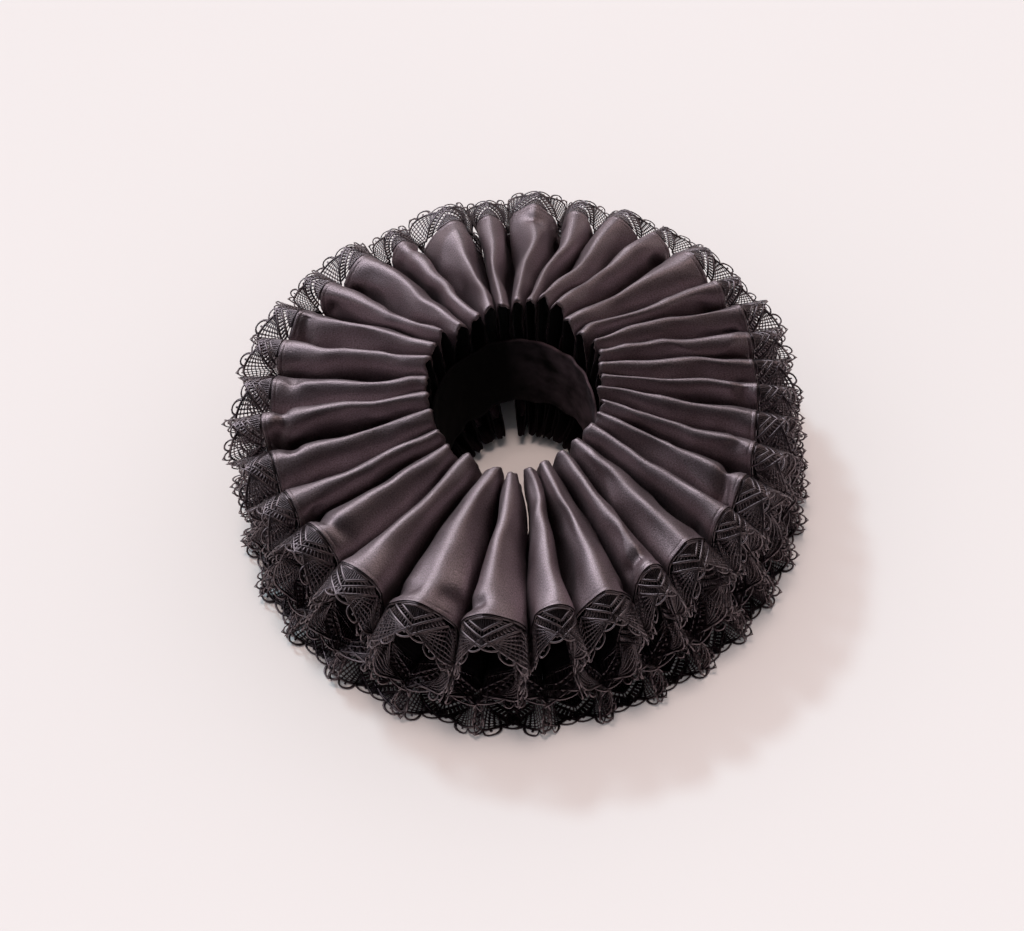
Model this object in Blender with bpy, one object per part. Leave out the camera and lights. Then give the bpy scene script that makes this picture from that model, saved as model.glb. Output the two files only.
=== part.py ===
"""A black satin ruff collar with a lace edging, lying open on a surface.

One long satin strip runs zigzag round the neck, top fold to bottom fold, and a cotton neckband
holds its inner edge. A lace strip carries on from the satin's outer edge. Both strips are pieced
from eleven cut lengths, joined in the middle of a bottom fold. The collar opens at the front (-Y),
between the first and the last top fold. Metres, +Z up, origin on the surface, at the middle of
the collar's box.
"""

import math
from collections import namedtuple

import bmesh
import bpy

MM = 0.001

# Where the neck's axis stands, so that the collar's box is centred on the origin
NECK_AXIS_X = 0.0 * MM
NECK_AXIS_Y = 0.4 * MM

CLOTH_WALL = 1.0 * MM
LACE_WALL = 1.0 * MM
BAND_WALL = 1.6 * MM
SEWN_GAP = 0.8 * MM
LACE_GAP = 0.7 * MM
SEAM_GAP = 0.5 * MM

# The neckband is a cylinder that leans down towards the front, as the neck's rim does
BAND_RADIUS = 56.0 * MM
BAND_LOW = 23.0 * MM
BAND_HIGH = 91.0 * MM
BAND_SIDES = 66
FRONT_TILT = 0.23
CLOSURE_GAP = 5.0 * MM

# The pleats' ends stand clear above and below the neckband
NECK_TOP = 122.0 * MM
NECK_BOTTOM = 8.0 * MM
NECK_BOTTOM_TILT = 0.14
NECK_BOTTOM_RADIUS = 40.0 * MM
BAND_CLEAR = 2.0 * MM

# How far a fold's shoulder stands from the neckband's edge towards the ridge's own end
SHOULDER = 0.75

# The satin's outer edge, where the lace is sewn on, and the lace's own edge
RIM_TOP = 110.5 * MM
RIM_BOTTOM_RADIUS = 170.0 * MM
LACE_REACH_FLOOR = 31.0 * MM
LACE_REACH_TOP = 28.0 * MM
LACE_DROOP = 9.0 * MM
FLOOR_LEAN_DEG = -4.0

# How much of the space between two folds each loop fills, at the neck and at the outer edge
NECK_FULL = 0.34
RIM_FULL = 0.41

# The cut lengths that the satin strip and the lace strip are each pieced from
LENGTHS = 11

# The folds stand on the surface from this share of the strip's width outwards
STANDS_FROM = 0.5
ACROSS_SATIN = (0.0, STANDS_FROM, 1.0)

# A wall's points lower than this share of its thickness are pressed flat onto the surface
PRESSED_BELOW = 0.25

# A top fold: where its ridge starts at the neck and where it meets the lace, as turns about the
# neck's axis in degrees from +X and as distances from that axis in millimetres. lift: how far the
# floor fold after it is raised at the neck, in millimetres.
Fold = namedtuple("Fold", "neck_deg neck_r rim_deg rim_r lift")
FOLDS = [
    Fold(275.3, 60.8, 274.3, 170.2, 0.0),
    Fold(284.4, 58.6, 284.5, 170.3, 0.0),
    Fold(297.6, 56.9, 295.8, 166.7, 0.0),
    Fold(309.6, 58.0, 306.0, 165.9, 0.0),
    Fold(322.9, 58.5, 317.6, 168.8, 0.0),
    Fold(332.3, 61.1, 326.8, 166.8, 0.0),
    Fold(341.4, 61.0, 336.7, 164.9, 0.0),
    Fold(350.8, 59.2, 345.9, 161.7, 0.0),
    Fold(358.4, 59.4, 353.7, 161.9, 0.0),
    Fold(365.9, 60.7, 361.9, 162.0, 0.0),
    Fold(374.3, 62.5, 369.2, 165.3, 0.0),
    Fold(382.8, 62.5, 378.7, 170.4, 0.0),
    Fold(391.0, 59.0, 387.0, 167.0, 0.0),
    Fold(403.8, 59.8, 397.4, 169.7, 0.0),
    Fold(416.6, 65.0, 409.3, 172.3, 0.0),
    Fold(424.7, 66.5, 418.9, 170.5, 0.0),
    Fold(432.2, 62.5, 429.3, 169.1, 0.0),
    Fold(440.5, 61.4, 439.5, 172.5, 0.0),
    Fold(450.6, 59.0, 450.8, 167.1, 32.0),
    Fold(458.6, 58.3, 460.4, 166.2, 0.0),
    Fold(469.4, 54.9, 473.9, 161.4, 0.0),
    Fold(483.6, 54.5, 484.4, 166.8, 0.0),
    Fold(493.6, 60.0, 496.7, 165.0, 0.0),
    Fold(504.6, 58.0, 506.3, 169.5, 0.0),
    Fold(515.3, 59.5, 515.8, 166.8, 0.0),
    Fold(530.1, 57.0, 528.0, 163.5, 0.0),
    Fold(541.0, 56.5, 539.0, 167.4, 0.0),
    Fold(554.4, 56.8, 550.5, 164.3, 0.0),
    Fold(569.1, 56.8, 563.1, 164.4, 0.0),
    Fold(581.0, 59.3, 574.8, 163.3, 0.0),
    Fold(594.8, 57.2, 588.1, 168.2, 0.0),
    Fold(613.4, 59.5, 604.8, 173.6, 0.0),
    Fold(624.0, 62.9, 618.7, 174.9, 0.0),
]

# A point of the strip's zigzag. loop: which fold's loop it is on. out: how far from the fold's
# middle, as a share of the loop's half width. neck: its level at the neck. rise: its height at the
# outer edge, as a share of the top fold's.
Station = namedtuple("Station", "loop out neck rise")
FOOT = [
    Station("floor", 0.00, "end", 0.0),
    Station("floor", 0.62, "end", 0.0),
    Station("floor", 1.00, "band", 0.22),
    Station("wall", 0.50, "middle", 0.50),
    Station("ridge", 1.00, "band", 0.76),
    Station("ridge", 0.62, "shoulder", 0.94),
]
PEAK = [Station("ridge", 0.0, "end", 1.0)]
# Up the fold's first side, over its ridge and down its other side
STATIONS = FOOT + PEAK + FOOT[::-1]


def around(degrees, radius, height):
    """A point at a turn about the neck's axis, a distance from it and a height."""
    turn = math.radians(degrees)
    x = NECK_AXIS_X + radius * math.cos(turn)
    y = NECK_AXIS_Y + radius * math.sin(turn)
    return (x, y, height)


def tilted(level, degrees, radius, slope=FRONT_TILT):
    """A level of the neck, which is higher at the back than at the front."""
    return level + slope * radius * math.sin(math.radians(degrees))


def turns_at(ridges, full, lean, radius):
    """The turn of every station of the strip at one distance from the neck."""
    split = math.degrees(CLOSURE_GAP / 2 / radius)
    seam = math.degrees(SEAM_GAP / 2 / radius)
    around_all = [ridges[-1] - 360, *ridges, ridges[0] + 360]
    result = []
    for before, ridge, after in zip(around_all, ridges, around_all[2:]):
        for side, other, stations in ((-1, before, FOOT + PEAK), (1, after, FOOT[::-1])):
            half = abs(other - ridge) * full
            floor = (ridge + other) / 2 + lean
            if other in (around_all[0], around_all[-1]):
                floor -= side * split
            top = ridge + side * half
            foot = floor - side * half
            for station in stations:
                if station.loop == "ridge":
                    result.append(ridge + side * half * station.out)
                elif station.loop == "floor":
                    result.append(floor - side * (half * station.out + seam))
                else:
                    result.append((top + foot) / 2)
    return result


def neck_point(station, degrees, fold, lift):
    """Where a station is on the strip's inner edge. lift is how far a floor fold's end is raised."""
    sewn = BAND_RADIUS + BAND_WALL / 2 + SEWN_GAP
    radius = fold.neck_r * MM
    top = tilted(NECK_TOP, degrees, radius)
    bottom = tilted(NECK_BOTTOM, degrees, NECK_BOTTOM_RADIUS, NECK_BOTTOM_TILT)
    low = tilted(BAND_LOW, degrees, BAND_RADIUS) - BAND_CLEAR
    high = tilted(BAND_HIGH, degrees, BAND_RADIUS) + BAND_CLEAR
    if station.neck == "middle":
        return around(degrees, sewn, (low + high) / 2)
    if station.neck == "band":
        return around(degrees, sewn, high if station.loop == "ridge" else low)
    if station.neck == "shoulder":
        level = high + (top - high) * SHOULDER
        return around(degrees, sewn + (radius - sewn) * SHOULDER, level)
    if station.loop == "ridge":
        return around(degrees, radius, top)
    if lift:
        return around(degrees, sewn, bottom + lift)
    return around(degrees, NECK_BOTTOM_RADIUS, bottom)


def strip_rows():
    """The strip's stations with their points at the neck, at the outer edge and at the lace's edge."""
    neck = turns_at([f.neck_deg for f in FOLDS], NECK_FULL, 0.0, BAND_RADIUS)
    rim = turns_at([f.rim_deg for f in FOLDS], RIM_FULL, FLOOR_LEAN_DEG, RIM_BOTTOM_RADIUS)
    rows = []
    for k, (neck_deg, rim_deg) in enumerate(zip(neck, rim)):
        i, j = divmod(k, len(STATIONS))
        fold, station = FOLDS[i], STATIONS[j]
        lift = (fold.lift if j > len(FOOT) else FOLDS[i - 1].lift) * MM
        share = station.rise
        radius = share * fold.rim_r * MM + (1 - share) * RIM_BOTTOM_RADIUS
        start = neck_point(station, neck_deg, fold, lift)
        edge = around(rim_deg, radius, share * RIM_TOP)
        reach = share * LACE_REACH_TOP + (1 - share) * LACE_REACH_FLOOR
        tip = around(rim_deg, radius + reach, share * (RIM_TOP - LACE_DROOP))
        rows.append((station, start, edge, tip))
    return rows


def along(start, end, share, stands):
    """A point between two, and on the surface where a bottom fold stands there."""
    x, y, z = (a + (b - a) * share for a, b in zip(start, end))
    if stands:
        z = start[2] * max(0.0, 1 - share / STANDS_FROM)
    return (x, y, z)


def cloth_wall(name, lines, wall, material):
    """One closed wall of cloth through rows of points, pressed flat where it stands."""
    sheet = bmesh.new()
    rows = [[sheet.verts.new(point) for point in line] for line in lines]
    for row, after in zip(rows, rows[1:]):
        for a, b, c, d in zip(row, row[1:], after[1:], after):
            sheet.faces.new((a, d, c, b))
    bmesh.ops.translate(sheet, verts=sheet.verts, vec=(0, 0, wall / 2))
    data = bpy.data.meshes.new(name)
    sheet.to_mesh(data)
    sheet.free()
    data.materials.append(material)
    piece = bpy.data.objects.new(name, data)
    bpy.context.collection.objects.link(piece)
    solidify = piece.modifiers.new("wall", "SOLIDIFY")
    solidify.thickness = wall
    solidify.offset = 0.0
    solidify.use_even_offset = True
    walled = piece.evaluated_get(bpy.context.evaluated_depsgraph_get())
    piece.data = bpy.data.meshes.new_from_object(walled)
    piece.modifiers.clear()
    for vert in piece.data.vertices:
        if vert.co.z < wall * PRESSED_BELOW:
            vert.co.z = 0.0


def cloth_material(name, colour, roughness):
    """A Principled material for one kind of cloth."""
    material = bpy.data.materials.new(name)
    material.use_nodes = True
    shader = material.node_tree.nodes["Principled BSDF"]
    shader.inputs["Base Color"].default_value = (*colour, 1.0)
    shader.inputs["Roughness"].default_value = roughness
    shader.inputs["Metallic"].default_value = 0.0
    return material


def pieced(name, lines, wall, material):
    """A strip as its cut lengths, each of them whole folds long."""
    ends = [round(len(FOLDS) * k / LENGTHS) * len(STATIONS) for k in range(LENGTHS + 1)]
    for k, (first, last) in enumerate(zip(ends, ends[1:]), start=1):
        cloth_wall(f"{name}_{k}", lines[first:last], wall, material)


def satin_strip(rows):
    """The pleated satin, from the neck to the lace."""
    lines = []
    for station, start, edge, _ in rows:
        stands = station.loop == "floor" and station.rise == 0
        lines.append([along(start, edge, share, stands) for share in ACROSS_SATIN])
    black_satin = cloth_material("black_satin", (0.020, 0.017, 0.018), 0.42)
    pieced("satin_strip", lines, CLOTH_WALL, black_satin)


def lace_edging(rows):
    """The lace strip, sewn to the satin's outer edge all the way along."""
    lines = []
    for _, _, edge, tip in rows:
        width = math.dist(edge, tip)
        lines.append([along(edge, tip, LACE_GAP / width, False), tip])
    black_lace = cloth_material("black_guipure_lace", (0.012, 0.010, 0.011), 0.8)
    pieced("lace_edging", lines, LACE_WALL, black_lace)


def neckband():
    """The cotton band inside the neck, open at the closure."""
    closure = (FOLDS[0].neck_deg + FOLDS[-1].neck_deg - 360) / 2
    split = math.degrees(CLOSURE_GAP / 2 / BAND_RADIUS)
    first, last = closure + split, closure + 360 - split
    lines = []
    for k in range(BAND_SIDES + 1):
        degrees = first + (last - first) * k / BAND_SIDES
        low = tilted(BAND_LOW, degrees, BAND_RADIUS)
        high = tilted(BAND_HIGH, degrees, BAND_RADIUS)
        lines.append([around(degrees, BAND_RADIUS, low), around(degrees, BAND_RADIUS, high)])
    black_cotton = cloth_material("black_cotton", (0.010, 0.009, 0.011), 0.95)
    cloth_wall("neckband", lines, BAND_WALL, black_cotton)


def main():
    for old in list(bpy.data.objects):
        bpy.data.objects.remove(old, do_unlink=True)
    rows = strip_rows()
    satin_strip(rows)
    lace_edging(rows)
    neckband()


main()
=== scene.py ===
import math
from collections import namedtuple

import bmesh
import bpy
import numpy as np
from mathutils import Matrix, Vector


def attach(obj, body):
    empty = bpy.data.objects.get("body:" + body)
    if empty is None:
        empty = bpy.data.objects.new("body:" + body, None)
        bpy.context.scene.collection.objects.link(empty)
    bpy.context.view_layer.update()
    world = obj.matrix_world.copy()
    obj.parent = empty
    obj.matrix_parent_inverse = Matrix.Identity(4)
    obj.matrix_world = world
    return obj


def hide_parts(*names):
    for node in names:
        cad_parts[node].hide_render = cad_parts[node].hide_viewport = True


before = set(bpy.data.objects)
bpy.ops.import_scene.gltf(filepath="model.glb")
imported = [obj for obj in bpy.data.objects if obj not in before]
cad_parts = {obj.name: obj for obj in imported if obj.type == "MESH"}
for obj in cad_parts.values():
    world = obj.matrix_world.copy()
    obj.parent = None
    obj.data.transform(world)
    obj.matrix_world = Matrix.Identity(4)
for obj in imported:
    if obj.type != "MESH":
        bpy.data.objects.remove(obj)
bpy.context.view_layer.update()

mm = 0.001

# The collar in millimetres: the neck's axis, its tilt to the front and the levels of the cloth
collar = {
    "axisY": 0.4, "frontTilt": 0.23, "closureGap": 5.0, "closureAtRim": -9.0, "lengths": 11,
    "bandRadius": 56.0, "bandWall": 1.6, "bandLow": 23.0, "bandHigh": 91.0, "sewnGap": 0.8,
    "neckTop": 122.0, "neckBottom": 5.0, "neckBottomTilt": 0.14, "neckBottomRadius": 43.0,
    "bandClear": 2.0, "shoulder": 0.84, "rimTop": 110.5, "rimBottomRadius": 170.0,
    "floorLean": -4.0, "standsFrom": 0.5, "backNarrow": 0.06,
    # how much of the space to the next fold half a loop fills
    "full": {"ridge": (0.44, 0.475), "floor": (0.4, 0.48)},
}

# Each top fold: its turn in degrees and distance in mm at the neck and at the lace, how many mm the
# floor fold after it is lifted at the neck, how steeply its lace droops in degrees, and how far its
# crest bows sideways in mm, at which share of its length
Fold = namedtuple("Fold", "neckTurn neckOut rimTurn rimOut lift droop bow bowAt")
folds = [
    Fold(275.3, 60.8, 274.3, 170.2, 0, 35, 2, 0.2),
    Fold(284.4, 58.6, 284.5, 170.3, 0, 35, 0, 0.5),
    Fold(297.6, 56.9, 295.8, 166.7, 0, 34, 0, 0.5),
    Fold(309.6, 58.0, 306.0, 165.9, 0, 32, 0, 0.5),
    Fold(322.9, 58.5, 317.6, 168.8, 0, 30, 0, 0.5),
    Fold(332.3, 61.1, 326.8, 166.8, 0, 26, 0, 0.5),
    Fold(341.4, 61.0, 336.7, 164.9, 0, 20, 0, 0.5),
    Fold(350.8, 59.2, 345.9, 161.7, 0, 16, 0, 0.5),
    Fold(358.4, 59.4, 353.7, 161.9, 0, 14, 0, 0.5),
    Fold(365.9, 60.7, 361.9, 162.0, 0, 14, 0, 0.5),
    Fold(374.3, 62.5, 369.2, 165.3, 0, 16, 0, 0.5),
    Fold(382.8, 62.5, 378.7, 170.4, 0, 22, 3, 0.4),
    Fold(391.0, 59.0, 387.0, 167.0, 0, 28, 4, 0.14),
    Fold(403.8, 59.8, 397.4, 169.7, 0, 28, -2, 0.4),
    Fold(416.6, 65.0, 409.3, 172.3, 0, 30, 0, 0.5),
    Fold(424.7, 66.5, 418.9, 170.5, 0, 30, -2, 0.5),
    Fold(432.2, 62.5, 429.3, 168.1, 0, 25, -5, 0.68),
    Fold(440.5, 61.4, 439.5, 171.5, 0, 21, -5, 0.62),
    Fold(450.6, 59.0, 450.8, 164.1, 32, 14, 2, 0.45),
    Fold(458.6, 58.3, 460.4, 165.2, 0, 10, 0, 0.5),
    Fold(469.4, 54.9, 473.9, 161.4, 0, 14, 0, 0.5),
    Fold(483.6, 54.5, 484.4, 166.8, 0, 14, -5, 0.7),
    Fold(493.6, 60.0, 496.7, 165.0, 0, 12, 0, 0.5),
    Fold(504.6, 58.0, 506.3, 169.5, 0, 12, 0, 0.5),
    Fold(515.3, 59.5, 515.8, 166.8, 0, 10, 0, 0.5),
    Fold(530.1, 57.0, 528.0, 163.5, 0, 12, 0, 0.5),
    Fold(541.0, 56.5, 539.0, 167.4, 0, 10, 0, 0.5),
    Fold(554.4, 56.8, 550.5, 164.3, 0, 10, 0, 0.5),
    Fold(569.1, 56.8, 563.1, 164.4, 0, 10, 0, 0.5),
    Fold(581.0, 59.3, 574.8, 163.3, 0, 14, 0, 0.5),
    Fold(594.8, 57.2, 588.1, 168.2, 0, 20, 1, 0.4),
    Fold(613.4, 59.5, 604.8, 173.6, 0, 30, 0, 0.5),
    Fold(624.0, 62.9, 618.7, 174.9, 0, 34, 1, 0.3),
]

# The strip's zigzag, from a floor fold's middle up to the next ridge. out, neckOut: share of the
# loop's half width at the lace and at the neck. neck: its level at the neck. rise: its share of the
# ridge's height at the lace. steps: how finely the cloth is divided up to the next station
Station = namedtuple("Station", "loop out neckOut neck rise steps")
climb = [
    Station("floor", 0.00, 0.00, "end", 0.00, 4),
    Station("floor", 0.62, 0.62, "end", 0.00, 7),
    Station("floor", 1.00, 1.00, "band", 0.22, 8),
    Station("wall", 0.50, 0.50, "middle", 0.50, 8),
    Station("ridge", 1.00, 1.00, "band", 0.78, 7),
    Station("ridge", 0.70, 0.70, "shoulder", 0.94, 6),
]
crest = Station("ridge", 0.0, 0.0, "end", 1.0, 6)


def softNoise(u, v, seed):  # smooth random heights from -1 to 1, about one hump per whole number
    size = 512
    lattice = np.random.default_rng(seed).uniform(-1, 1, (size, size))
    i, j = np.floor(u).astype(int), np.floor(v).astype(int)
    fu, fv = u - i, v - j
    fu, fv = fu * fu * (3 - 2 * fu), fv * fv * (3 - 2 * fv)
    i, j, i1, j1 = i % size, j % size, (i + 1) % size, (j + 1) % size
    low = lattice[i, j] * (1 - fu) + lattice[i1, j] * fu
    high = lattice[i, j1] * (1 - fu) + lattice[i1, j1] * fu
    return low * (1 - fv) + high * fv


def smoothStep(low, high, value):
    t = np.clip((value - low) / (high - low), 0, 1)
    return t * t * (3 - 2 * t)


def unit(vectors):
    return vectors / np.maximum(np.linalg.norm(vectors, axis=-1, keepdims=True), 1e-9)


def around(turn, out, height):  # a point by its turn about the neck's axis, in mm
    turn = np.radians(turn)
    x, y = out * np.cos(turn), collar["axisY"] + out * np.sin(turn)
    return np.stack(np.broadcast_arrays(x, y, height), axis=-1)


def tilted(level, turn, out, slope=collar["frontTilt"]):
    return level + slope * out * math.sin(math.radians(turn))


# The satin strip, in mm
strip = {
    "width": 109.0,          # from the neck edge to the seam with the lace
    "rowEvery": 2.5,         # between rows of the mesh in the middle of the strip
    "fineRows": (0, 0.8, 1.8, 3.0, 4.6, 6.6),    # rows beside the neck edge, and beside the seam
    "seamRows": (8.6, 7.0, 5.6, 4.5, 3.7, 3.1, 2.7, 2.3, 1.8, 1.2, 0.6, 0.0),
    "wall": 0.9,
    "stitchLine": 2.7,       # from the seam
    "neckRoll": 2.0,         # how far a top fold's end is rolled over
    "rawWave": 1.3,          # that the raw neck edge runs in and out, and how soon it straightens
    "rawFades": 5.0,
    "neckWave": 1.1,         # that the walls wave beside it
    "tape": 16.0,            # of painted shade on the floor folds' ends at the neck: their face takes the dull black back
    "clearOf": 0.75,         # from the middle of each gap between two folds
    "sway": 7.0,             # that a valley wanders sideways between the floor and the crests
    "seamSlit": 0.3,         # between two lengths
}


def stations():
    # every station with its fold, its side and the fold's two neighbours
    rows = []
    turning = [folds[-1].rimTurn - 360, *[f.rimTurn for f in folds], folds[0].rimTurn + 360]
    necks = [folds[-1].neckTurn - 360, *[f.neckTurn for f in folds], folds[0].neckTurn + 360]
    for i in range(len(folds)):
        for station in climb:
            rows.append((station, i, -1, necks[i], turning[i]))
        rows.append((crest, i, 1, necks[i + 2], turning[i + 2]))
        for k in range(len(climb) - 1, 0, -1):
            station = climb[k]._replace(steps=climb[k - 1].steps)
            rows.append((station, i, 1, necks[i + 2], turning[i + 2]))
    rows.append((climb[0], len(folds) - 1, 1, necks[-1], turning[-1]))
    return rows


def turnAt(row, ridge, other, where, lean, gap, radius):
    # where is 0 at the neck and 1 at the seam with the lace
    station, i, side = row[:3]
    space = abs(other - ridge)
    ridgeHalf, floorHalf = (space * collar["full"][loop][where] for loop in ("ridge", "floor"))
    ridgeHalf *= 1 - where * collar["backNarrow"] * max(0, math.sin(math.radians(ridge))) ** 2
    out = station.out if where else station.neckOut
    floor = (ridge + other) / 2 + lean
    if (i == 0 and side < 0) or (i == len(folds) - 1 and side > 0):
        floor -= side * math.degrees(gap / 2 / radius)
    if station.loop == "ridge":
        return ridge + side * ridgeHalf * out
    if station.loop == "floor":
        return floor - side * floorHalf * out
    return (ridge + side * ridgeHalf + floor - side * floorHalf) / 2


def neckPoint(row, turn):
    station, i, side = row[:3]
    fold = folds[i]
    lift = folds[i - 1].lift if side < 0 else fold.lift
    sewn = collar["bandRadius"] + collar["bandWall"] / 2 + collar["sewnGap"]
    top = tilted(collar["neckTop"], turn, fold.neckOut)
    bottom = tilted(collar["neckBottom"], turn, collar["neckBottomRadius"],
                    collar["neckBottomTilt"])
    low = tilted(collar["bandLow"], turn, collar["bandRadius"]) - collar["bandClear"]
    high = tilted(collar["bandHigh"], turn, collar["bandRadius"]) + collar["bandClear"]
    if station.neck == "middle":
        return around(turn, sewn, (low + high) / 2)
    if station.neck == "band":
        return around(turn, sewn, high if station.loop == "ridge" else low)
    if station.neck == "shoulder":
        level = high + (top - high) * collar["shoulder"]
        return around(turn, sewn + (fold.neckOut - sewn) * collar["shoulder"], level)
    if station.loop == "ridge":
        return around(turn, fold.neckOut, top)
    if lift:
        return around(turn, sewn, bottom + lift)
    return around(turn, collar["neckBottomRadius"], bottom)


def smoothAlong(net, steps):
    # a centripetal Catmull-Rom curve through net[:, k], divided into steps[k] parts per span
    gap = np.sqrt(np.linalg.norm(np.diff(net, axis=1), axis=-1, keepdims=True)).clip(1e-3)
    gap = np.concatenate([gap[:, :1], gap, gap[:, -1:]], axis=1)
    before, after = 2 * net[:, :1] - net[:, 1:2], 2 * net[:, -1:] - net[:, -2:-1]
    padded = np.concatenate([before, net, after], axis=1)
    parts = []
    for k in range(net.shape[1] - 1):
        p0, p1, p2, p3 = (padded[:, k + n][:, None] for n in range(4))
        d0, d1, d2 = (gap[:, k + n][:, None] for n in range(3))
        m1 = d1 * ((p1 - p0) / d0 - (p2 - p0) / (d0 + d1) + (p2 - p1) / d1)
        m2 = d1 * ((p2 - p1) / d1 - (p3 - p1) / (d1 + d2) + (p3 - p2) / d2)
        t = (np.arange(steps[k]) / steps[k])[None, :, None]
        t2, t3 = t * t, t * t * t
        parts.append((2 * t3 - 3 * t2 + 1) * p1 + (t3 - 2 * t2 + t) * m1
                     + (3 * t2 - 2 * t3) * p2 + (t3 - t2) * m2)
    parts.append(net[:, -1:])
    return np.concatenate(parts, axis=1)


def acrossRows():  # how far each row of the mesh lies from the neck edge
    width, fine, seam = strip["width"], strip["fineRows"], strip["seamRows"]
    middle = np.arange(fine[-1] + strip["rowEvery"], width - seam[0] - 1, strip["rowEvery"])
    return np.concatenate([fine, middle, width - np.array(seam)])


wander = {
    "sideways": 2.8,     # mm that a crest strays from its straight line
    "kinks": 1.5,        # mm of its shorter bends
    "bowLength": 0.2,    # share of the fold's length that its bow takes up to each side
    "slump": {"shoulder": 2.4, "band": 4.5},      # mm that its sides sink half way along
    "narrow": {"shoulder": 0.1, "band": 0.03},    # share of its width that it loses there
    "end": 1.3,          # mm that the raw neck edge waves
    "endFades": 9.0,     # mm over which that wave dies away
    "lapRise": 1.7,      # mm that the closure's upper end lies above the lower one
    "spread": (0.05, 0.08),      # how far the lace fans out at a ridge, and what the back adds
    "flare": {"wall": 0.12, "floor": -0.2},
}


def wanderOf(row, share):
    # a fold's own bends between the neck and the lace: sideways and down in mm, and the share of
    # its half width that it narrows by
    station, i, side = row[:3]
    fold = folds[i]
    free = np.sin(np.pi * share) ** 0.8
    stray = wander["sideways"] * softNoise(share * 2.6 + i * 7.13, share * 0 + 3.5, 41) * free
    stray += wander["kinks"] * softNoise(share * 6.5 + i * 5.31, share * 0 + 8.5, 47) * free
    bow = fold.bow * np.exp(-((share - fold.bowAt) / wander["bowLength"]) ** 2)
    stray += bow * smoothStep(0, 0.1, share) * smoothStep(1, 0.85, share)
    middle = smoothStep(0.02, 0.4, share) * (1 - 0.55 * smoothStep(0.6, 1, share))
    own = 0.85 + 0.4 * softNoise(share * 1.8 + i * 3.7, share * 0 + side * 5.2, 43)
    slump, narrow = 0, 0
    if station.loop == "ridge":
        slump, narrow = wander["slump"].get(station.neck, 0), wander["narrow"].get(station.neck, 0)
    return stray * station.rise, own * middle * slump, -side * own * middle * narrow


def shapeStrip():
    rows = stations()
    across = acrossRows()
    share = across / strip["width"]
    net = np.zeros((len(across), len(rows), 3))
    laceAim = np.zeros((len(rows), 3))
    for k, row in enumerate(rows):
        station, i, side, neckOther, rimOther = row
        fold = folds[i]
        neckTurn = turnAt(row, fold.neckTurn, neckOther, 0, 0, collar["closureGap"],
                          collar["bandRadius"])
        rimTurn = turnAt(row, fold.rimTurn, rimOther, 1, collar["floorLean"],
                         collar["closureAtRim"], collar["rimBottomRadius"])
        start = neckPoint(row, neckTurn)
        out = station.rise * fold.rimOut + (1 - station.rise) * collar["rimBottomRadius"]
        end = around(rimTurn, out, station.rise * collar["rimTop"])
        line = start + (end - start) * share[:, None]
        stray, down, inwards = wanderOf(row, share)
        sideways = around(rimTurn + 90, 1, 0) - around(0, 0, 0)
        outHere = collar["bandRadius"] + (collar["rimBottomRadius"] - collar["bandRadius"]) * share
        halfWidth = math.radians(abs(rimOther - fold.rimTurn)) / 2 * outHere
        line += sideways * (stray + inwards * halfWidth)[:, None]
        line[:, 2] -= down
        atEnd = np.exp(-(across / wander["endFades"]) ** 2)
        for axis, noiseRow, seed in ((1, 2.5, 45), (0, 7.5, 46)):
            wave = softNoise(np.full(1, k * 1.7), np.full(1, noiseRow), seed)[0]
            line[:, axis] += wander["end"] * wave * atEnd
        if k in (0, len(rows) - 1):
            # the closure's ends close up quickly below the neck and lie one on the other
            closing = collar["closureGap"] - collar["closureAtRim"]
            line += sideways * (side * closing / 2 * ((1 - (1 - share) ** 3) - share))[:, None]
            line[:, 2] += wander["lapRise"] * (side > 0) * smoothStep(0.1, 0.4, share)
        if station.loop == "floor" and station.rise == 0:
            standing = np.clip(1 - share / collar["standsFrom"], 0, None)
            line[:, 2] += start[2] * (standing - (1 - share))
        if station.loop == "ridge" and station.rise > 0.9:
            # the fold's end at the neck is rolled over, not cut square
            roll = np.clip(1 - across / strip["neckRoll"], 0, 1)
            line[:, 2] -= strip["neckRoll"] * (1 - np.sqrt(1 - roll ** 2)) * station.rise ** 3
        net[:, k] = line
        # the lace goes on outwards, drooping at the ridges and flaring away from each loop's middle
        radial = around(rimTurn, 1, 0) - around(0, 0, 0)
        droop = math.radians(fold.droop * station.rise)
        spread = wander["spread"][0] + wander["spread"][1] * max(0, math.sin(math.radians(rimTurn)))
        flare = side * station.out * wander["flare"].get(station.loop, spread)
        laceAim[k] = radial * math.cos(droop) + sideways * flare - np.array([0, 0, math.sin(droop)])
    steps = [row[0].steps for row in rows]
    surface = smoothAlong(net, steps)
    surface[..., 2] += strip["wall"] / 2
    aim = unit(smoothAlong(laceAim[None], steps)[0])
    return across, surface, aim, steps


def normalsOf(surface):
    alongStrip = np.gradient(surface, axis=1)
    outwards = np.gradient(surface, axis=0)
    return unit(np.cross(outwards, alongStrip))


# The lace in mm: perHalf is the repeats from a floor fold to a ridge, lay is how far it lies under
# the satin's face, and curl, wave and sway are its own bends at the outer edge
lace = {
    "repeat": 40.0, "perHalf": 3, "depth": 31.0, "lay": -0.25,
    "curl": 2.2, "wave": 1.0, "sway": 1.2,
    "lowest": 0.75,     # how high the cords' middles stay above the floor
    "thickness": 0.72,  # cords are flattened to this share
}


def patternAlong(edge, steps):
    # the lace's own measure along the seam: whole repeats lie between a floor fold and a ridge
    spans = len(climb)
    counts = [sum(steps[a:a + spans]) for a in range(0, len(steps) - 1, spans)]
    stepLength = np.linalg.norm(np.diff(edge, axis=0), axis=-1)
    pattern, realLength, column = [0.0], [0.0], 0
    for count in counts:
        part = stepLength[column:column + count]
        grown = np.cumsum(part)
        pattern.extend(pattern[-1] + grown / grown[-1] * lace["repeat"] * lace["perHalf"])
        realLength.extend(realLength[-1] + grown)
        column += count
    return np.array(pattern), np.array(realLength)


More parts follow.
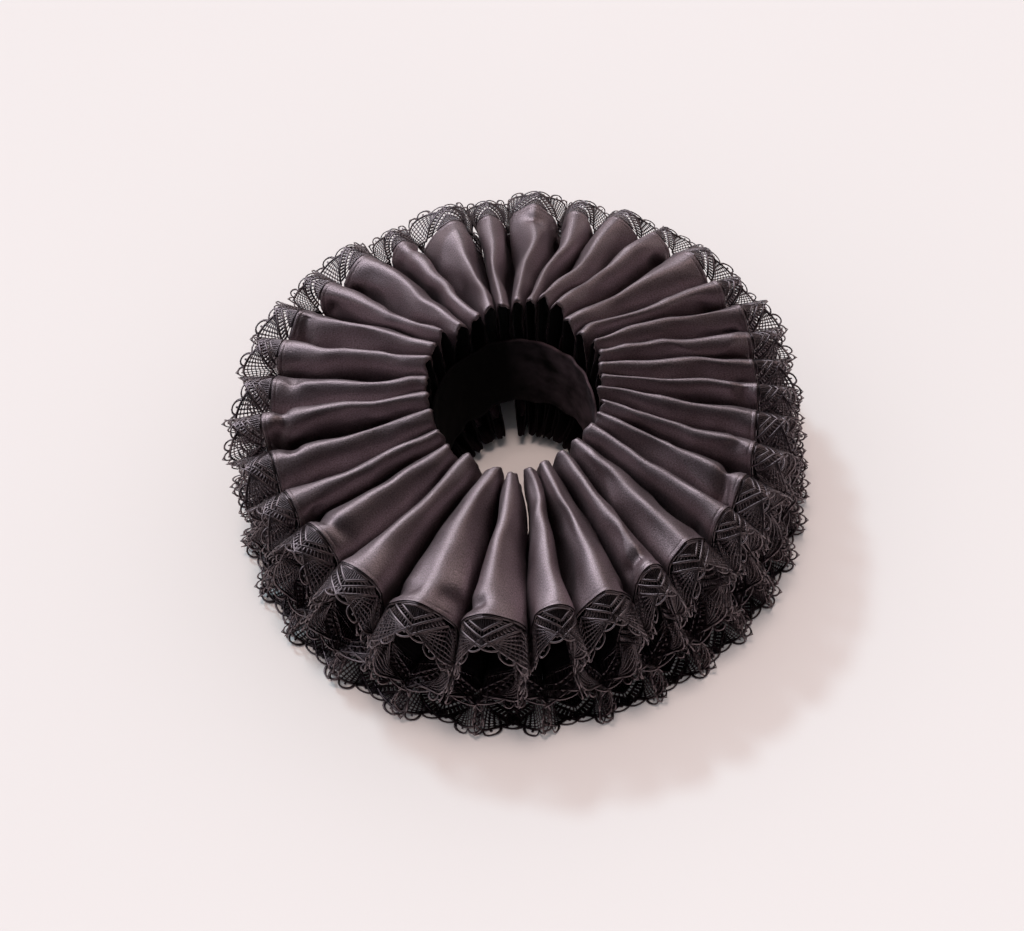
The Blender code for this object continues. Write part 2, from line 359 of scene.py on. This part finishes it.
# How far apart the walls keep, by their share of the ridge's height: where walls with a valley
# between them press together, and where a fold's own two walls do
press = {
    "valley": {"low": (0.28, 0.4), "high": (0.7, 0.58), "across": (12, 40), "share": 0.95},
    "fold": {"low": (0.05, 0.13), "high": (0.3, 0.2), "across": (30, 70), "share": 0.9},
    "drift": 0.7, "bend": 0.55,      # shares of a valley's sway that are noise and a plain S
}


def pressing(where, rise, across):
    zone = press[where]
    here = smoothStep(*zone["low"], rise) * smoothStep(*zone["high"], rise)
    return here * smoothStep(*zone["across"], across)[:, None]


def keepApart(across, surface, perFold):
    # no wall crosses the middle of the gap that it shares with its neighbour
    count = surface.shape[1]
    x, y, height = surface[..., 0], surface[..., 1] - collar["axisY"], surface[..., 2]
    out = np.hypot(x, y)
    turn = np.unwrap(np.arctan2(y, x), axis=1)
    crests = np.arange(len(folds)) * perFold + perFold // 2
    floors = np.arange(len(folds) + 1) * perFold
    ridge, floor = turn[:, crests], turn[:, floors]
    before = np.concatenate([ridge[:, -1:] - 2 * np.pi, ridge], axis=1)
    after = np.concatenate([ridge, ridge[:, :1] + 2 * np.pi], axis=1)
    valley = (before + after) / 2
    under = (floor[:, 1:] + floor[:, :-1]) / 2
    fold = np.minimum(np.arange(count) // perFold, len(folds) - 1)
    rising = np.arange(count) - fold * perFold < perFold // 2
    rise = np.clip(height / height[:, crests][:, fold], 0, 1)
    own = under[:, fold] + (ridge - under)[:, fold] * rise
    beside = np.where(rising, fold, fold + 1)
    shared = floor[:, beside] + (valley - floor)[:, beside] * rise
    clear = strip["clearOf"] / out
    valleyNumber = beside % len(folds)
    drift = softNoise(valleyNumber * 7.3 + across[:, None] / 60, rise * 2.6 + 0.5, 31)
    sway = press["drift"] * drift * np.sin(np.pi * rise)
    sway += press["bend"] * np.sin(2 * np.pi * rise) * np.where(valleyNumber % 2, 1, -1)
    sway = sway * strip["sway"] / out * smoothStep(0, 40, across)[:, None]
    own = own + np.where(rising, -clear, clear) * smoothStep(0.98, 0.9, rise)
    shared = shared + np.where(rising, clear, -clear) * smoothStep(0.02, 0.1, rise)
    low, high = np.where(rising, shared, own), np.where(rising, own, shared)
    turn = np.clip(turn, low, np.maximum(low, high))
    toValley, toFold = np.where(rising, low, high), np.where(rising, high, low)
    turn = turn + (toValley - turn) * press["valley"]["share"] * pressing("valley", rise, across)
    turn = turn + (toFold - turn) * press["fold"]["share"] * pressing("fold", rise, across)
    inner = under[:, fold] + (ridge - under)[:, fold] * rise
    span = shared - inner
    span = np.where(np.abs(span) < 1e-4, 1e-4, span)
    turn = turn + sway * np.clip((turn - inner) / span, 0, 1)
    return np.stack([out * np.cos(turn), collar["axisY"] + out * np.sin(turn), height], axis=-1)


# The satin's relief in mm
relief = {
    # height, spacing along and across the strip, width in which it slants by one spacing, seed
    "drags": ((1.5, 30, 42, 90, 1), (1.0, 14, 40, -60, 2), (0.36, 8, 18, math.inf, 3)),
    "trough": {"deep": 2.8, "fromSeam": 12, "strays": 6, "halfWide": 5.0},
    "crease": 1.0, "creaseSharpness": 6,
    "flatFor": 22,           # from the neck edge, where the gathers hold the cloth
    "pucker": 0.34, "puckerFades": 4.5,
    "hem": 0.14, "groove": 0.16, "grooveHalfWide": 0.5,
    "neckHem": 0.08, "neckFades": 11,
}


def rumple(across, pattern):
    # drag lines, soft dents and the small puckers that the seam's stitches draw in
    a, v = np.meshgrid(pattern, across)
    fromSeam = strip["width"] - v
    height = 0
    for high, along, spacing, slant, seed in relief["drags"]:
        height = height + high * softNoise(a / along + v / slant, v / spacing, seed)
    # soft troughs that run across the flanks a little above the seam
    trough = relief["trough"]
    place = fromSeam - trough["fromSeam"] - trough["strays"] * softNoise(a / 34, v * 0, 4)
    here = smoothStep(0.0, 0.6, softNoise(a / 19, v * 0 + 0.5, 7))
    height -= trough["deep"] * np.exp(-(place / trough["halfWide"]) ** 2) * here
    crease = 1 - np.abs(softNoise(a / 36 + v / 80, v / 75 - a / 110, 6))
    height += relief["crease"] * (crease ** relief["creaseSharpness"] - 0.2)
    height *= smoothStep(0, relief["flatFor"], v) * (1 + 0.5 * np.exp(-(fromSeam / 28) ** 2))
    neckWave = strip["neckWave"] * np.exp(-v / relief["neckFades"])
    height += neckWave * softNoise(a / 9, v / 14, 8)
    toStitch = fromSeam - strip["stitchLine"]
    puckers = relief["pucker"] * np.exp(-np.abs(toStitch) / relief["puckerFades"])
    hem = relief["hem"] * smoothStep(0, -0.9, toStitch)
    hem -= relief["groove"] * np.exp(-(toStitch / relief["grooveHalfWide"]) ** 2)
    neckHem = relief["neckHem"] * smoothStep(3.2, 2.2, v)
    return height + puckers * softNoise(a / 2.6, v / 7, 5), hem + neckHem


across, cloth, laceAim, steps = shapeStrip()
perFold = sum(steps[:2 * len(climb)])  # columns of the mesh from one floor fold to the next
patternU, realU = patternAlong(cloth[-1], steps)
body, hem = rumple(across, patternU)
outward = normalsOf(cloth)
cloth = keepApart(across, cloth + outward * body[..., None], perFold)
rawEdge = softNoise(patternU / 9, patternU * 0, 51)
rawEdge += 0.5 * softNoise(patternU / 3.5, patternU * 0, 52)
inwards = unit(cloth[0] - cloth[6]) * (strip["rawWave"] * rawEdge)[:, None]
cloth += inwards * np.exp(-(across / strip["rawFades"]) ** 2)[:, None, None]
cloth[..., 2] = np.maximum(cloth[..., 2], strip["wall"] / 2)
outward = normalsOf(cloth)
print("strip shaped:", cloth.shape[1], "columns,", round(realU[-1]), "mm of seam")


def linear(hexColour):  # an sRGB hex colour as linear light
    parts = [int(hexColour[k:k + 2], 16) / 255 for k in (1, 3, 5)]
    light = [c / 12.92 if c <= 0.04045 else ((c + 0.055) / 1.055) ** 2.4 for c in parts]
    return (*light, 1.0)


def addNode(tree, kind, settings=None, **links):
    node = tree.nodes.new(kind)
    for name, value in (settings or {}).items():
        if hasattr(node, name):
            setattr(node, name, value)
        else:
            node.inputs[name].default_value = value
    for name, source in links.items():
        sockets = [s for s in node.inputs if name in (s.name.replace(" ", ""), s.identifier)]
        tree.links.new(source, sockets[0])
    return node


def newMaterial(name, settings):
    material = bpy.data.materials.new(name)
    material.use_nodes = True
    shader = material.node_tree.nodes["Principled BSDF"]
    for key, value in settings.items():
        shader.inputs[key].default_value = value
    return material, material.node_tree, shader


def blackSatin():
    # polyester duchess satin: long floats give a broad soft sheen along the folds, never a mirror
    material, tree, shader = newMaterial("blackDuchessSatin", {
        "IOR": 2.8, "Roughness": 0.5, "Specular IOR Level": 1.0,
        "Specular Tint": linear("#ffe4e9"),
    })
    uv = addNode(tree, "ShaderNodeUVMap", {"uv_map": "clothMap"}).outputs["UV"]
    # threads are 0.1 mm apart, drawn 0.7 mm apart and 1.2 mm long so that the grain shows
    floats = addNode(tree, "ShaderNodeMapping", {"Scale": (1400.0, 800.0, 1.0)}, Vector=uv)
    weave = addNode(tree, "ShaderNodeTexNoise", {"Scale": 1.0, "Detail": 3.0, "Roughness": 0.6},
                    Vector=floats.outputs[0])
    cloud = addNode(tree, "ShaderNodeTexNoise", {"Scale": 55.0, "Detail": 1.5, "Roughness": 0.4},
                    Vector=uv)
    tone = addNode(tree, "ShaderNodeMixRGB",
                   {"Color1": linear("#080506"), "Color2": linear("#171013")},
                   Fac=cloud.outputs["Fac"])
    threads = addNode(tree, "ShaderNodeMapRange",
                      {"From Min": 0.3, "From Max": 0.7, "To Min": 0.2, "To Max": 2.2},
                      Value=weave.outputs["Fac"])
    woven = addNode(tree, "ShaderNodeVectorMath", {"operation": "SCALE"},
                    Vector=tone.outputs["Color"], Scale=threads.outputs[0])
    tree.links.new(woven.outputs[0], shader.inputs["Base Color"])
    rough = addNode(tree, "ShaderNodeMapRange",
                    {"From Min": 0.3, "From Max": 0.7, "To Min": 0.46, "To Max": 0.57},
                    Value=cloud.outputs["Fac"])
    tree.links.new(rough.outputs[0], shader.inputs["Roughness"])
    gleam = addNode(tree, "ShaderNodeMapRange",
                    {"From Min": 0.32, "From Max": 0.68, "To Min": 0.45, "To Max": 1.0},
                    Value=weave.outputs["Fac"])
    tree.links.new(gleam.outputs[0], shader.inputs["Specular IOR Level"])
    ripple = addNode(tree, "ShaderNodeBump", {"Strength": 0.07, "Distance": 0.003},
                     Height=cloud.outputs["Fac"])
    bump = addNode(tree, "ShaderNodeBump", {"Strength": 0.5, "Distance": 0.0005},
                   Height=weave.outputs["Fac"], Normal=ripple.outputs["Normal"])
    tree.links.new(bump.outputs["Normal"], shader.inputs["Normal"])
    return material


def satinReverse():
    # the satin's dull back and its overcast raw edges: matte black, with a little fuzz. It is also
    # laid as painted shade over the face of the floor folds' ends at the neck
    material, tree, shader = newMaterial("blackSatinReverse", {
        "Roughness": 0.9, "Specular IOR Level": 0.15,
    })
    uv = addNode(tree, "ShaderNodeUVMap", {"uv_map": "clothMap"}).outputs["UV"]
    fuzz = addNode(tree, "ShaderNodeTexNoise", {"Scale": 900.0, "Detail": 3.0}, Vector=uv)
    tone = addNode(tree, "ShaderNodeMixRGB",
                   {"Color1": linear("#040304"), "Color2": linear("#171114")},
                   Fac=fuzz.outputs["Fac"])
    tree.links.new(tone.outputs["Color"], shader.inputs["Base Color"])
    bump = addNode(tree, "ShaderNodeBump", {"Strength": 0.5, "Distance": 0.0004},
                   Height=fuzz.outputs["Fac"])
    tree.links.new(bump.outputs["Normal"], shader.inputs["Normal"])
    return material


def blackGuipure():
    # guipure lace of rayon thread: deep black, and its close-stitched cords take a soft grey gleam
    material, tree, shader = newMaterial("blackGuipureThread", {
        "IOR": 1.95, "Roughness": 0.34, "Specular IOR Level": 0.9,
        "Specular Tint": linear("#ffe6ec"),
    })
    uv = addNode(tree, "ShaderNodeUVMap", {"uv_map": "clothMap"}).outputs["UV"]
    # the thread's turns run slanting across the cords, 0.5 mm apart and 2 mm long
    turned = addNode(tree, "ShaderNodeMapping",
                     {"Rotation": (0, 0, 0.9), "Scale": (1900.0, 500.0, 1.0)}, Vector=uv)
    thread = addNode(tree, "ShaderNodeTexNoise", {"Scale": 1.0, "Detail": 2.0},
                     Vector=turned.outputs[0])
    tone = addNode(tree, "ShaderNodeMixRGB",
                   {"Color1": linear("#020101"), "Color2": linear("#080506")},
                   Fac=thread.outputs["Fac"])
    tree.links.new(tone.outputs["Color"], shader.inputs["Base Color"])
    bump = addNode(tree, "ShaderNodeBump", {"Strength": 0.5, "Distance": 0.0002},
                   Height=thread.outputs["Fac"])
    tree.links.new(bump.outputs["Normal"], shader.inputs["Normal"])
    return material


def blackCotton():
    # brushed cotton drill: matte, with a short nap that scatters a little light
    material, tree, shader = newMaterial("blackBrushedCotton", {
        "Roughness": 0.95, "Specular IOR Level": 0.2,
    })
    coords = addNode(tree, "ShaderNodeTexCoord").outputs["Object"]
    # the nap lies in flecks of 0.7 mm, and lint clouds it every 8 mm
    nap = addNode(tree, "ShaderNodeTexNoise", {"Scale": 1400.0, "Detail": 4.0}, Vector=coords)
    lint = addNode(tree, "ShaderNodeTexNoise", {"Scale": 130.0, "Detail": 6.0, "Roughness": 0.7},
                   Vector=coords)
    tone = addNode(tree, "ShaderNodeMixRGB",
                   {"Color1": linear("#020102"), "Color2": linear("#080507")},
                   Fac=lint.outputs["Fac"])
    # painted light: the side towards +X, where the lamp lights the inside of the band, is painted
    # paler in soft patches
    place = addNode(tree, "ShaderNodeSeparateXYZ", Vector=coords)
    side = addNode(tree, "ShaderNodeMapRange", {"From Min": -0.002, "From Max": 0.05},
                   Value=place.outputs["X"])
    patches = addNode(tree, "ShaderNodeTexNoise", {"Scale": 70.0, "Detail": 3.0}, Vector=coords)
    spotty = addNode(tree, "ShaderNodeMapRange", {"From Min": 0.25, "From Max": 0.75},
                     Value=patches.outputs["Fac"])
    paintedLight = addNode(tree, "ShaderNodeMath", {"operation": "MULTIPLY"}, Value=side.outputs[0],
                   Value_001=spotty.outputs[0])
    paintedLitSide = addNode(tree, "ShaderNodeMixRGB", {"Color2": linear("#594c53")}, Fac=paintedLight.outputs[0],
                    Color1=tone.outputs["Color"])
    tree.links.new(paintedLitSide.outputs["Color"], shader.inputs["Base Color"])
    bump = addNode(tree, "ShaderNodeBump", {"Strength": 0.6, "Distance": 0.0004},
                   Height=nap.outputs["Fac"])
    tree.links.new(bump.outputs["Normal"], shader.inputs["Normal"])
    return material


def gridPiece(name, points, flat, material):
    # a sheet: a grid whose crossings are moved onto points[row, column], in mm
    rows, columns = points.shape[:2]
    grid = bmesh.new()
    bmesh.ops.create_grid(grid, x_segments=columns - 1, y_segments=rows - 1, size=0.5)
    mesh = bpy.data.meshes.new(name)
    grid.to_mesh(mesh)
    grid.free()
    place = np.zeros(len(mesh.vertices) * 3)
    mesh.vertices.foreach_get("co", place)
    place = place.reshape(-1, 3) + 0.5
    i = np.rint(place[:, 0] * (columns - 1)).astype(int)
    j = np.rint(place[:, 1] * (rows - 1)).astype(int)
    mesh.vertices.foreach_set("co", (points[j, i] * mm).ravel())
    corners = np.zeros(len(mesh.loops), dtype=int)
    mesh.loops.foreach_get("vertex_index", corners)
    layer = mesh.uv_layers.new(name="clothMap")
    layer.data.foreach_set("uv", (flat[j, i][corners] * mm).ravel())
    mesh.update()
    mesh.shade_smooth()
    mesh.materials.append(material)
    piece = bpy.data.objects.new(name, mesh)
    bpy.context.collection.objects.link(piece)
    return piece


def thicken(piece, wall):
    solid = piece.modifiers.new("wall", "SOLIDIFY")
    solid.thickness = wall * mm
    solid.offset = 0.0
    return solid


def lengthColumns(k):
    # the columns where cut length k starts and ends, in the middle of a floor fold
    ends = [round(len(folds) * n / collar["lengths"]) * perFold for n in (k - 1, k)]
    return ends[0], ends[1]


def makeSatin():
    face, reverse = blackSatin(), satinReverse()
    onFloor = np.concatenate([[row[0].loop == "floor"] * row[0].steps for row in stations()])
    finished = cloth + outward * hem[..., None]
    finished[..., 2] = np.maximum(finished[..., 2], strip["wall"] / 2)
    flat = np.stack(np.meshgrid(realU, across), axis=-1)
    for k in range(1, collar["lengths"] + 1):
        first, last = lengthColumns(k)
        part = finished[:, first:last + 1].copy()
        slit = strip["seamSlit"] / 2
        part[:, 0] += unit(part[:, 1] - part[:, 0]) * slit
        part[:, -1] += unit(part[:, -2] - part[:, -1]) * slit
        piece = gridPiece(f"satinLength{k}", part, flat[:, first:last + 1], reverse)
        piece.data.materials.append(face)
        piece.data.materials.append(reverse)
        # painted shade: the floor folds' ends at the neck take the dull black back on their face
        # too, standing in for the deep shade there
        paintedShade = (across[:-1, None] < strip["tape"]) & onFloor[None, first:last]
        piece.data.polygons.foreach_set("material_index", (2 * paintedShade.astype(int)).ravel())
        thicken(piece, strip["wall"]).material_offset = 1
        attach(piece, "root")
        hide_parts(f"satin_strip_{k}")
    print("satin lengths:", collar["lengths"])


# The lace drawn flat, in mm: u along the seam with the fan's middle at 0, w outwards from the seam
motif = {
    "triangle": (10.0, 1.9, 10.4),   # where it starts along the seam, its top and its point
    "inner": (5.0, 1.9, 14.8),       # the cord round the triangle
    "outer": (0.0, 3.8, 20.3),       # the cord that the fan hangs from
    "arc": (19.4, 11.2, 14.8),       # the fan's edge: half width, height and level
    "arcEnds": (16, 164), "arcPoints": 24,       # the part drawn, in degrees of a half circle
    "picots": 5, "picotOut": 5.2, "picotPoints": 9, "picotBar": 0.5, "spike": 1.6,
    "columns": 7, "columnAtTop": 1.9, "columnAtArc": 2.4, "crossRows": 6,
    "ribs": 8, "innerBars": 7, "outerBars": 10, "knotted": (0.8, 1.8, 0.8),
    "netKnot": (1.5, 0.75),          # a net row's thickness at a crossing and between two
    "header": 0.55, "footing": -0.5, "footingEvery": 2.0,
    "bold": 0.92, "cord": 0.66, "bar": 0.56, "thread": 0.44, "step": 2.6,
}


def between(a, b, t):
    return (a[0] + (b[0] - a[0]) * t, a[1] + (b[1] - a[1]) * t)


def drawCord(curve, points, radius, radii=None):
    spline = curve.splines.new("POLY")
    spline.points.add(len(points) - 1)
    for k, (u, w) in enumerate(points):
        spline.points[k].co = (u, w, 0.0, 1.0)
        spline.points[k].radius = radius * (radii[k] if radii else 1.0)


def drawStraight(curve, a, b, radius):
    count = max(1, round(math.dist(a, b) / motif["step"]))
    drawCord(curve, [between(a, b, k / count) for k in range(count + 1)], radius)


def fanEdge(u):  # the fan's edge is an arch that runs to a blunt point
    half, high, level = motif["arc"]
    return level + high * (1 - abs(u / half) ** 1.6)


def drawHeader(curve):
    # the cord along the seam, and the stitches that hold it to the satin
    m, half = motif, lace["repeat"] / 2
    drawStraight(curve, (-half, m["header"]), (half, m["header"]), m["cord"])
    for k in range(round(lace["repeat"] / m["footingEvery"])):
        u = -half + (k + 0.5) * m["footingEvery"]
        drawCord(curve, [(u, m["footing"]), (u, m["header"])], m["thread"])


def drawTriangles(curve):
    # half a ribbed triangle at each end of the repeat, with two bold cords and their bars round it
    m, half = motif, lace["repeat"] / 2
    for side in (-1, 1):
        corner = (side * m["triangle"][0], m["triangle"][1])
        point = (side * half, m["triangle"][2])
        innerTop, innerPoint = (side * m["inner"][0], m["inner"][1]), (side * half, m["inner"][2])
        outerTop, outerPoint = (side * m["outer"][0], m["outer"][1]), (side * half, m["outer"][2])
        drawStraight(curve, corner, (side * half, m["triangle"][1]), m["bold"])
        drawStraight(curve, corner, point, m["bold"])
        for k in range(1, m["ribs"] + 1):
            t = k / (m["ribs"] + 0.5)
            foot = between(corner, point, t)
            drawCord(curve, [(foot[0], m["triangle"][1]), foot], m["bar"])
        drawStraight(curve, innerTop, innerPoint, m["bold"])
        drawStraight(curve, (innerTop[0], m["header"]), innerTop, m["cord"])
        drawStraight(curve, outerTop, outerPoint, m["bold"])
        for k in range(m["innerBars"]):
            t = (k + 0.6) / m["innerBars"]
            a, b = between(corner, point, t), between(innerTop, innerPoint, t)
            drawCord(curve, [a, b], m["thread"])
        for k in range(m["outerBars"]):
            t = (k + 0.6) / m["outerBars"]
            a, b = between(innerTop, innerPoint, t), between(outerTop, outerPoint, t)
            drawCord(curve, [a, between(a, b, 0.5), b], m["bar"], m["knotted"])


def drawNet(curve):
    # the fan's net: columns that spread, crossed by rows with a knot at each crossing
    m, half = motif, lace["repeat"] / 2
    tops, feet = [], []
    for k in range(-m["columns"], m["columns"] + 1):
        u = k * m["columnAtTop"]
        tops.append((u, m["outer"][1] + (m["outer"][2] - m["outer"][1]) * abs(u) / half))
        u = k * m["columnAtArc"]
        feet.append((u, fanEdge(u)))
    for a, b in zip(tops, feet):
        drawStraight(curve, a, b, m["thread"])
    for k in range(1, m["crossRows"] + 1):
        t = k / (m["crossRows"] + 1)
        knots = [between(a, b, t) for a, b in zip(tops, feet)]
        knot, thin = m["netKnot"]
        row, radii = [knots[0]], [knot]
        for a, b in zip(knots, knots[1:]):
            row += [between(a, b, 0.5), b]
            radii += [thin, knot]
        drawCord(curve, row, m["thread"], radii)


def drawPicots(curve):
    # the fan's edge and the loops along it, each with a bar inside and the middle one pointed
    m = motif
    arcWide, _, arcLevel = m["arc"]
    turns = np.linspace(*np.radians(m["arcEnds"]), m["arcPoints"])
    arc = [(arcWide * math.cos(turn), fanEdge(arcWide * math.cos(turn))) for turn in turns]
    drawCord(curve, arc, m["bold"])
    anchors = []
    reach = np.cumsum([0] + [math.dist(a, b) for a, b in zip(arc, arc[1:])])
    for n in range(m["picots"] + 1):
        at = reach[-1] * n / m["picots"]
        anchors.append((float(np.interp(at, reach, [p[0] for p in arc])),
                        float(np.interp(at, reach, [p[1] for p in arc]))))
    for n, (a, b) in enumerate(zip(anchors, anchors[1:])):
        middle = between(a, b, 0.5)
        out = Vector((middle[0], (middle[1] - arcLevel) * 4)).normalized()
        wide = Vector((b[0] - a[0], b[1] - a[1])) / 2
        loop = []
        for turn in np.linspace(0, math.pi, m["picotPoints"]):
            spread = math.cos(turn) * (0.94 + 0.12 * math.sin(turn))
            p = Vector(middle) - wide * spread + out * m["picotOut"] * math.sin(turn)
            loop.append((p.x, p.y))
        drawCord(curve, loop, m["cord"])
        top = len(loop) // 2
        drawCord(curve, [middle, between(middle, loop[top], m["picotBar"])], m["bar"])
        if n == m["picots"] // 2:
            tip = Vector(loop[top]) + out * m["spike"]
            drawCord(curve, [loop[top - 1], tuple(tip), loop[top + 1]], m["bar"], [1.0, 0.7, 1.0])


def drawLaceRepeat():
    curve = bpy.data.curves.new("laceRepeat", "CURVE")
    curve.dimensions = "3D"
    curve.bevel_depth = 1.0
    curve.bevel_resolution = 0
    curve.use_fill_caps = True
    drawHeader(curve)
    drawTriangles(curve)
    drawNet(curve)
    drawPicots(curve)
    return curve


def clothPoint(u, w, h):
    # where a point of the flat lace comes: on the lace past the seam, on the satin before it
    column = np.interp(u, patternU, np.arange(len(patternU)))
    i = np.clip(column.astype(int), 0, len(patternU) - 2)
    t = (column - i)[:, None]
    tables = (cloth[-1], laceAim, edgeTangent)
    edge, aim, tangent = (table[i] * (1 - t) + table[i + 1] * t for table in tables)
    aim, tangent = unit(aim), unit(tangent)
    facing = unit(np.cross(aim, tangent))
    share = np.clip(w / lace["depth"], 0, 1.2)
    curl = lace["curl"] * softNoise(u / 24, share * 1.5, 11) * share ** 2
    wave = lace["wave"] * softNoise(u / 13, w / 16, 12) * share
    sway = lace["sway"] * softNoise(u / 20, share, 13) * share
    point = edge + aim * w[:, None] + facing * (curl + wave + lace["lay"])[:, None]
    point += tangent * sway[:, None]
    point[:, 2] = np.maximum(point[:, 2], lace["lowest"])
    return point + facing * (h * lace["thickness"])[:, None]


edgeTangent = unit(np.gradient(cloth[-1], axis=0))


def makeLace():
    material = blackGuipure()
    curve = drawLaceRepeat()
    drawn = bpy.data.objects.new("laceRepeat", curve)
    repeatMesh = bpy.data.meshes.new_from_object(drawn)
    bpy.data.objects.remove(drawn)
    print("lace repeat:", len(repeatMesh.polygons), "faces")
    for k in range(1, collar["lengths"] + 1):
        first, last = lengthColumns(k)
        repeats = round((patternU[last] - patternU[first]) / lace["repeat"])
        flatRepeat = bpy.data.objects.new("flatLace", repeatMesh)
        bpy.context.collection.objects.link(flatRepeat)
        row = flatRepeat.modifiers.new("repeats", "ARRAY")
        row.count = repeats
        row.use_relative_offset = False
        row.use_constant_offset = True
        row.constant_offset_displace = (lace["repeat"], 0, 0)
        graph = bpy.context.evaluated_depsgraph_get()
        mesh = bpy.data.meshes.new_from_object(flatRepeat.evaluated_get(graph))
        bpy.data.objects.remove(flatRepeat)
        flat = np.zeros(len(mesh.vertices) * 3)
        mesh.vertices.foreach_get("co", flat)
        flat = flat.reshape(-1, 3)
        flat[:, 0] += patternU[first] + lace["repeat"] / 2
        mesh.vertices.foreach_set("co", (clothPoint(*flat.T) * mm).ravel())
        corners = np.zeros(len(mesh.loops), dtype=int)
        mesh.loops.foreach_get("vertex_index", corners)
        layer = mesh.uv_layers.new(name="clothMap")
        layer.data.foreach_set("uv", (flat[:, :2][corners] * mm).ravel())
        mesh.update()
        mesh.shade_smooth()
        mesh.materials.clear()
        mesh.materials.append(material)
        mesh.name = f"laceLength{k}"
        piece = bpy.data.objects.new(f"laceLength{k}", mesh)
        bpy.context.collection.objects.link(piece)
        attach(piece, "root")
        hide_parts(f"lace_edging_{k}")
    bpy.data.meshes.remove(repeatMesh)
    print("lace lengths:", collar["lengths"])


neckbandLook = {
    "columns": 260, "rows": 26, "wall": 1.5, "ripple": 2.6, "topWave": 3.0, "lowWave": 4.0,
    "edgeTurn": 0.3, "edgeWide": 3.5,      # mm that the two edges turn in, and over which width
}


def makeNeckband():
    look = neckbandLook
    closure = (folds[0].neckTurn + folds[-1].neckTurn - 360) / 2
    split = math.degrees(collar["closureGap"] / 2 / collar["bandRadius"])
    turn = np.linspace(closure + split, closure + 360 - split, look["columns"])
    up = np.linspace(0, 1, look["rows"])
    turns, ups = np.meshgrid(turn, up)
    width = collar["bandHigh"] - collar["bandLow"]
    level = collar["bandLow"] + width * ups
    height = level + collar["frontTilt"] * collar["bandRadius"] * np.sin(np.radians(turns))
    height += look["topWave"] * (softNoise(turns / 17, ups * 0, 22) - 0.5) * ups ** 3
    height += look["lowWave"] * (softNoise(turns / 14, ups * 0, 23) - 0.2) * (1 - ups) ** 3
    rows = width / look["edgeWide"]
    edge = np.exp(-(ups * rows) ** 2) + np.exp(-((1 - ups) * rows) ** 2)
    out = collar["bandRadius"] - look["ripple"] * (0.5 + 0.5 * softNoise(turns / 8, ups * 2.6, 21))
    out -= look["edgeTurn"] * edge
    points = around(turns, out, height)
    flat = np.stack([np.radians(turns) * collar["bandRadius"], ups * width], axis=-1)
    piece = gridPiece("cottonNeckband", points, flat, blackCotton())
    thicken(piece, look["wall"])
    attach(piece, "root")
    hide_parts("neckband")
    print("neckband done")


floorReach = 60.0  # m to each side, so far that its edge never shows


def makeFloor():
    grid = bmesh.new()
    bmesh.ops.create_grid(grid, x_segments=1, y_segments=1, size=floorReach)
    mesh = bpy.data.meshes.new("floor")
    grid.to_mesh(mesh)
    grid.free()
    floor = bpy.data.objects.new("floor", mesh)
    bpy.context.collection.objects.link(floor)
    # matte white paper: plain and pale, with a hardly visible cloud
    material, tree, shader = newMaterial("matteWhitePaper", {
        "Roughness": 0.85, "Specular IOR Level": 0.2,
    })
    coords = addNode(tree, "ShaderNodeTexCoord").outputs["Object"]
    cloud = addNode(tree, "ShaderNodeTexNoise", {"Scale": 1.3, "Detail": 2.0}, Vector=coords)
    tone = addNode(tree, "ShaderNodeMixRGB",
                   {"Color1": linear("#cbd0d1"), "Color2": linear("#cfd4d5")},
                   Fac=cloud.outputs["Fac"])
    tree.links.new(tone.outputs["Color"], shader.inputs["Base Color"])
    mesh.materials.append(material)
    print("floor done")


def softLight(name, fromPlace, softness, strength, colour, shines=True, fills=True):
    # a far softbox: softness is its width in degrees, strength its light in W per square metre. One
    # that only fills lights the floor and draws the shadow, one that only shines glosses the cloth
    light = bpy.data.lights.new(name, "SUN")
    light.angle = math.radians(softness)
    light.energy = strength
    light.color = linear(colour)[:3]
    lamp = bpy.data.objects.new(name, light)
    lamp.visible_glossy = shines
    lamp.visible_diffuse = fills
    lamp.rotation_euler = Vector(fromPlace).to_track_quat("Z", "Y").to_euler()
    bpy.context.collection.objects.link(lamp)


def makeLight():
    world = bpy.data.worlds.new("studio")
    bpy.context.scene.world = world
    world.use_nodes = True
    back = world.node_tree.nodes["Background"]
    back.inputs["Color"].default_value = linear("#f4e8ea")
    back.inputs["Strength"].default_value = 0.8
    # the pale room fills the shadows but adds no shine to the satin
    world.cycles_visibility.glossy = False
    softLight("lampBehind", (-1.05, 1.6, 2.35), 7, 1.12, "#dcf5ff", shines=False)
    softLight("ceiling", (-0.05, 0.1, 2.6), 20, 1.87, "#ffdcd0", shines=False)
    softLight("softboxBehind", (-0.3, 2.0, 1.9), 42, 1.5, "#f2f9ff", fills=False)
    softLight("windowLeft", (-1.75, 1.25, 1.8), 30, 1.12, "#eef5ff", fills=False)
    softLight("reflectorRight", (1.8, 0.9, 1.8), 26, 0.36, "#fff0ea", fills=False)
    print("lights done")


# What the camera looks at, from how far in m, and how far it is turned down and rolled, in degrees
view = {
    "lens": 77.34, "target": (-0.00594, 0.0104, 0.01908), "distance": 1.5447, "pitch": 52.854,
    "roll": 6.531,
}


def makeCamera():
    data = bpy.data.cameras.new("camera")
    data.lens = view["lens"]
    data.sensor_width = 36.0
    camera = bpy.data.objects.new("camera", data)
    pitch = math.radians(view["pitch"])
    back = Vector((0, -math.cos(pitch), math.sin(pitch)))
    place = Vector(view["target"]) + back * view["distance"]
    tilt = Matrix.Rotation(math.pi / 2 - pitch, 4, "X")
    roll = Matrix.Rotation(-math.radians(view["roll"]), 4, "Z")
    camera.matrix_world = Matrix.Translation(place) @ tilt @ roll
    bpy.context.collection.objects.link(camera)
    bpy.context.scene.camera = camera
    print("camera done")


makeCamera()
makeLight()
makeFloor()
makeSatin()
makeLace()
makeNeckband()
bpy.context.scene.view_settings.view_transform = "Standard"
